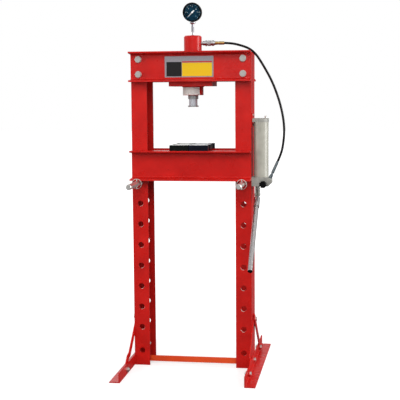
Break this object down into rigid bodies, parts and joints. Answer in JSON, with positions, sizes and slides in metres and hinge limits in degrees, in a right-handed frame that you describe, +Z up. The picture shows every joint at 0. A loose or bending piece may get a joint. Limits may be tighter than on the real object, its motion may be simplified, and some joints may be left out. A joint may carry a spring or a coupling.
{
  "type": "hydraulic press",
  "caption": "Free-standing workshop press: channel-iron frame on angle feet, bed resting on cross pins, downward ram in a cylinder with dial gauge, and a hose-fed lever hand pump on one column.",
  "frame": {"origin": "on the floor, midway between the two columns and midway along the feet", "axes": "+X to the pump's side (the right, seen from the front), -Y to the front, +Z up"},
  "size_m": [0.7764, 0.8, 1.735],
  "materials": {
    "red_paint": "gloss red enamel with worn patches",
    "orange_paint": "orange-red enamel",
    "zinc_steel": "zinc plated, slightly dulled",
    "dark_steel": "oiled spring steel",
    "bright_chrome": "polished",
    "blued_steel": "dark blue-black, machined top",
    "grey_enamel": "warm grey enamel",
    "cast_grey": "light grey painted casting",
    "brass": "satin",
    "black_rubber": "satin black",
    "black_plastic": "matte",
    "dial_face": "dark blue dial with white marks",
    "needle_white": "matte white",
    "clear_glass": "clear",
    "label_metal": "printed with plain colour fields"
  },
  "bodies": {
    "press_frame": {"left_column": "red_paint", "right_column": "red_paint", "front_top_beam": "red_paint", "rear_top_beam": "red_paint", "beam_bolts": "zinc_steel", "beam_washers": "zinc_steel", "beam_nuts": "zinc_steel", "left_foot": "red_paint", "right_foot": "red_paint", "left_front_brace": "red_paint", "left_rear_brace": "red_paint", "right_front_brace": "red_paint", "right_rear_brace": "red_paint", "foot_bolts": "zinc_steel", "foot_nuts": "zinc_steel", "spreader_bar": "orange_paint", "cylinder_plate": "red_paint", "cylinder_barrel": "red_paint", "cylinder_ring": "red_paint", "gland_bush": "zinc_steel", "label_plate": "label_metal", "gauge_adapter": "zinc_steel", "gauge_stem": "zinc_steel", "gauge_case": "black_plastic", "gauge_bezel": "black_plastic", "gauge_dial": "dial_face", "gauge_lens": "clear_glass", "quick_coupler": "bright_chrome", "hose_end": "brass", "hose": "black_rubber", "hose_ferrule": "zinc_steel", "pump_outlet_fitting": "zinc_steel", "pump_body": "cast_grey", "plunger_gland": "zinc_steel", "fulcrum_pin": "zinc_steel", "reservoir_tube": "grey_enamel", "reservoir_cap": "cast_grey", "filler_plug": "zinc_steel", "pump_bracket": "red_paint", "pump_bolts": "zinc_steel", "return_spring": "dark_steel"},
    "ram_unit": {"ram": "bright_chrome", "piston_seal": "black_rubber", "ram_saddle": "zinc_steel"},
    "pointer": {"gauge_needle": "needle_white"},
    "handle_unit": {"handle_lever": "zinc_steel", "pump_handle": "bright_chrome", "handle_cap": "black_plastic"},
    "plunger_unit": {"pump_plunger": "bright_chrome", "plunger_pin": "zinc_steel"},
    "valve_knob": {"release_knob": "black_plastic"},
    "bed": {"bed_front_rail": "red_paint", "bed_rear_rail": "red_paint", "bed_spacers": "red_paint", "left_arbor_plate": "blued_steel", "right_arbor_plate": "blued_steel"},
    "left_pin_unit": {"left_bed_pin": "zinc_steel", "left_pin_clip": "zinc_steel"},
    "right_pin_unit": {"right_bed_pin": "zinc_steel", "right_pin_clip": "zinc_steel"}
  },
  "joints": [
    {"name": "ram_slide", "type": "slide", "parent": "press_frame", "child": "ram_unit", "axis": [0, 0, -1], "range_m": [0, 0.15], "stiffness_N_per_m": 400, "springref_m": -0.12, "deforming": ["return_spring"]},
    {"name": "gauge_pointer", "type": "hinge", "parent": "press_frame", "child": "pointer", "pos_m": [0, 0, 1.69], "axis": [0, 1, 0], "range_deg": [0, 270], "stiffness_Nm_per_rad": 0.004, "springref_deg": -17.19},
    {"name": "handle_swing", "type": "hinge", "parent": "press_frame", "child": "handle_unit", "pos_m": [0.312, -0.06, 0.835], "axis": [-1, 0, 0], "range_deg": [0, 50]},
    {"name": "plunger_slide", "type": "slide", "parent": "press_frame", "child": "plunger_unit", "axis": [0, 0, -1], "range_m": [0, 0.0205]},
    {"name": "valve_turn", "type": "hinge", "parent": "press_frame", "child": "valve_knob", "pos_m": [0.341, -0.08, 0.885], "axis": [0, -1, 0], "range_deg": [0, 360]},
    {"name": "bed_lift", "type": "slide", "parent": "press_frame", "child": "bed", "axis": [0, 0, 1], "range_m": [0, 0.025]},
    {"name": "left_pin_pull", "type": "slide", "parent": "press_frame", "child": "left_pin_unit", "axis": [0, -1, 0], "range_m": [0, 0.3]},
    {"name": "right_pin_pull", "type": "slide", "parent": "press_frame", "child": "right_pin_unit", "axis": [0, -1, 0], "range_m": [0, 0.3]}
  ],
  "couplings": [
    {"joint": "plunger_slide", "follows": "handle_swing", "m_per_rad": 0.023246}
  ]
}
